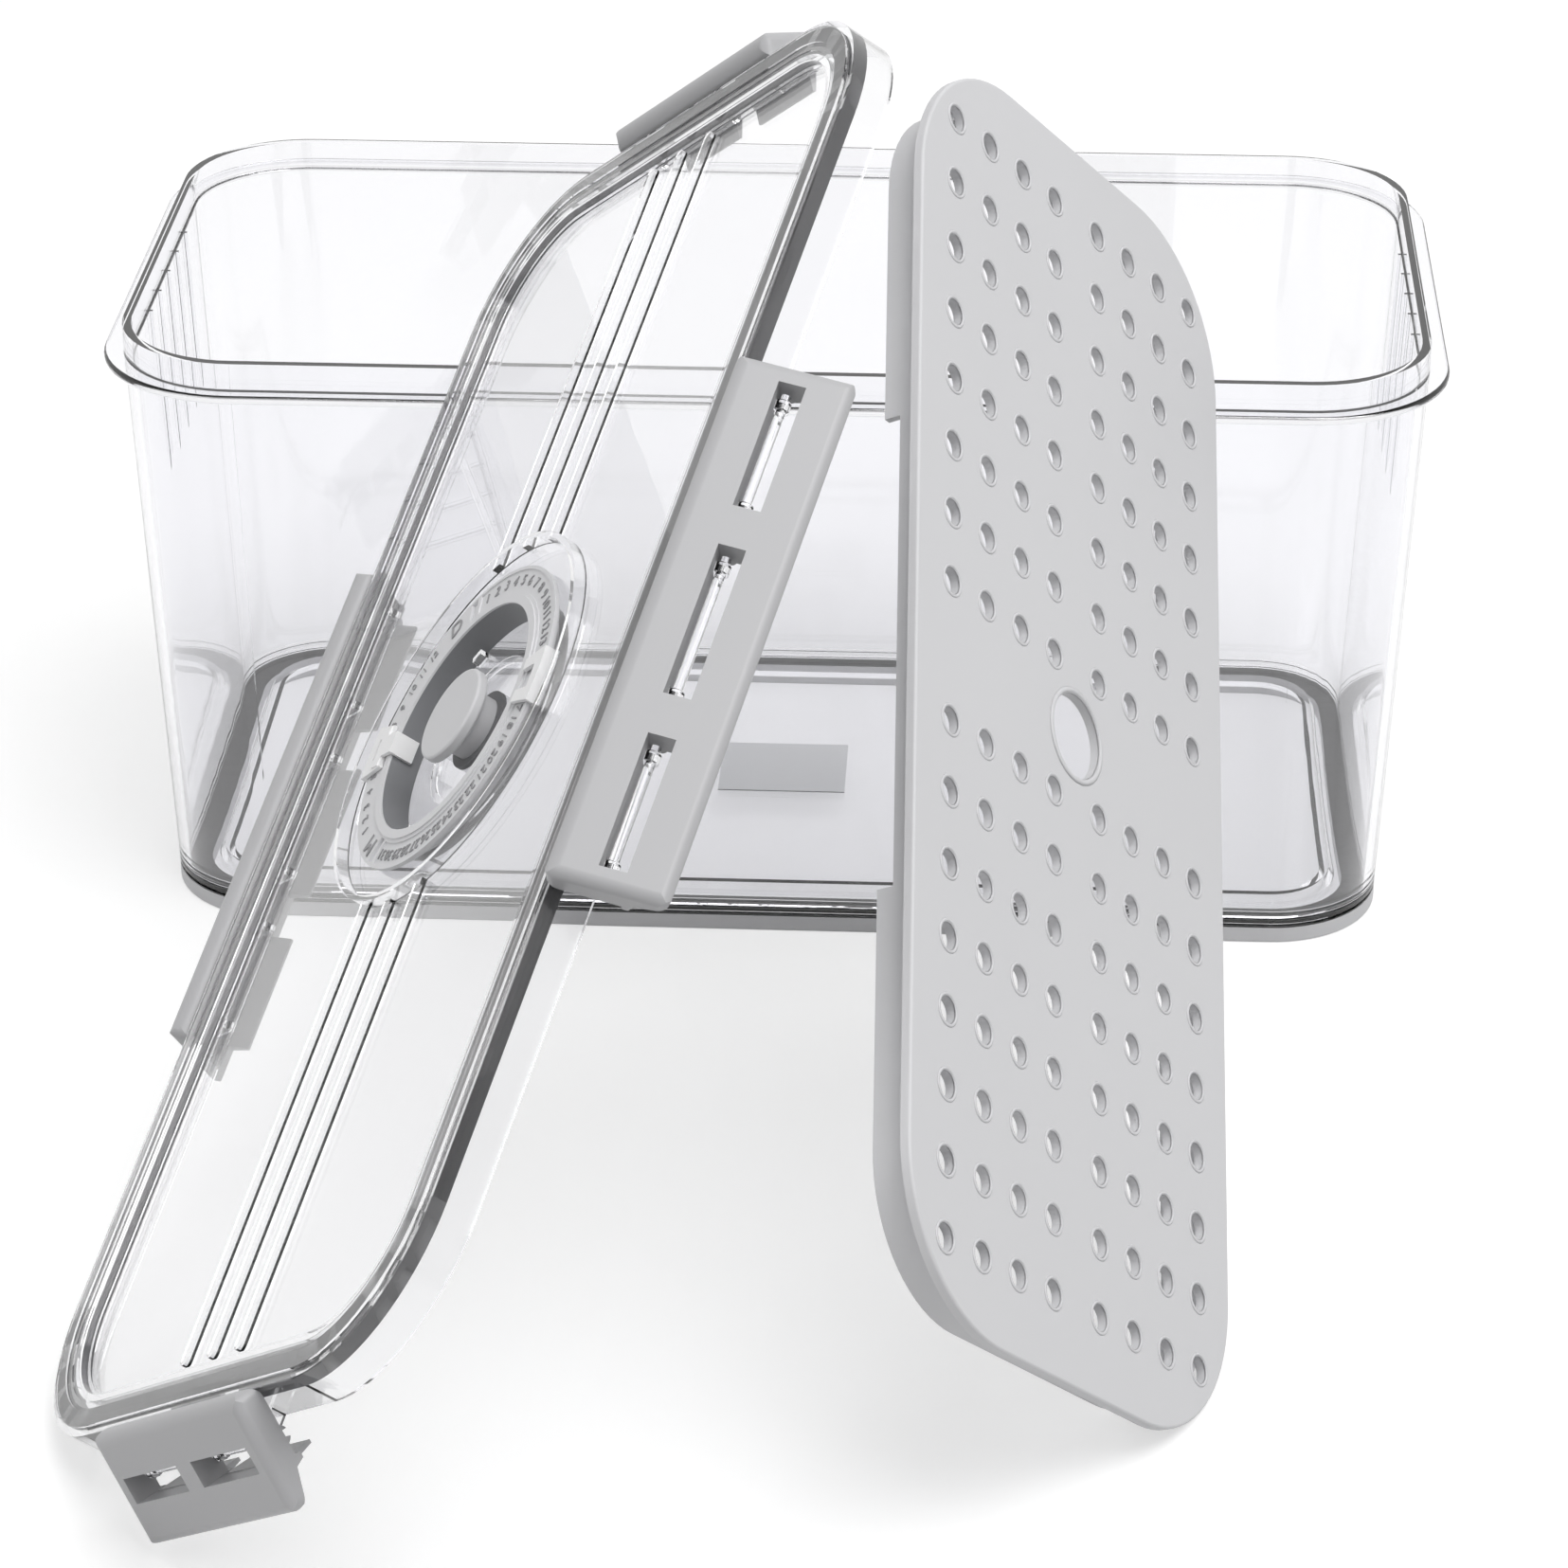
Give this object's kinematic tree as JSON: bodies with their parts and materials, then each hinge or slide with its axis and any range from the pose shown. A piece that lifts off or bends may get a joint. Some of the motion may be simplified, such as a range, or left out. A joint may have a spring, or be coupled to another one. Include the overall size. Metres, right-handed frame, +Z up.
{
  "type": "produce storage container",
  "caption": "Clear produce box with its clip-on lid, date dial and perforated drain tray taken off and leaning on its rim.",
  "frame": {"origin": "middle of the ground area that the box, the lid and the tray cover together, on the surface that they stand on", "axes": "+Z up; +X along the long side of the box; the box stands on the +Y side and the lid and the tray lean against it from the -Y side"},
  "size_m": [0.336, 0.4882, 0.2707],
  "materials": {
    "clear_plastic": "clear, polished",
    "foot_plastic": "satin, light grey",
    "tray_plastic": "satin, light grey",
    "latch_plastic": "satin, grey",
    "ring_plastic": "satin, pale grey",
    "white_plastic": "white",
    "knob_plastic": "satin, grey",
    "seal_rubber": "grey silicone rubber"
  },
  "bodies": {
    "base": {"container_body": "clear_plastic", "foot_ring": "foot_plastic", "drain_tray": "tray_plastic", "tray_skirt": "tray_plastic", "lid_shell": "clear_plastic", "lid_gasket": "seal_rubber", "date_ring": "ring_plastic"},
    "left_latch": {"latch_long_left": "latch_plastic"},
    "right_latch": {"latch_long_right": "latch_plastic"},
    "top_latch": {"latch_end_top": "latch_plastic"},
    "bottom_latch": {"latch_end_bottom": "latch_plastic"},
    "day_clip": {"day_pointer": "white_plastic"},
    "month_clip": {"month_pointer": "white_plastic"},
    "vent": {"vent_knob": "knob_plastic", "vent_seal": "seal_rubber"}
  },
  "joints": [
    {"name": "left_latch_hinge", "type": "hinge", "parent": "base", "child": "left_latch", "pos_m": [-0.10361, -0.01954, 0.08106], "axis": [0.266, 0.7771, 0.5704], "range_deg": [-35, 0]},
    {"name": "right_latch_hinge", "type": "hinge", "parent": "base", "child": "right_latch", "pos_m": [-0.00274, -0.13066, 0.18543], "axis": [-0.266, -0.7771, -0.5704], "range_deg": [-35, 0]},
    {"name": "top_latch_hinge", "type": "hinge", "parent": "base", "child": "top_latch", "pos_m": [-0.00706, 0.05965, 0.23214], "axis": [0.5518, -0.6079, 0.571], "range_deg": [-35, 0]},
    {"name": "bottom_latch_hinge", "type": "hinge", "parent": "base", "child": "bottom_latch", "pos_m": [-0.09929, -0.20986, 0.03434], "axis": [-0.5518, 0.6079, -0.571], "range_deg": [-35, 0]},
    {"name": "day_clip_turn", "type": "hinge", "parent": "base", "child": "day_clip", "pos_m": [-0.06005, -0.07652, 0.13838], "axis": [-0.7904, -0.1629, 0.5905], "range_deg": [-108, 104]},
    {"name": "month_clip_turn", "type": "hinge", "parent": "base", "child": "month_clip", "pos_m": [-0.06005, -0.07652, 0.13838], "axis": [-0.7904, -0.1629, 0.5905], "range_deg": [-40, 40]},
    {"name": "vent_pull", "type": "slide", "parent": "base", "child": "vent", "axis": [-0.7904, -0.1629, 0.5905], "range_m": [0, 0.0035]}
  ]
}
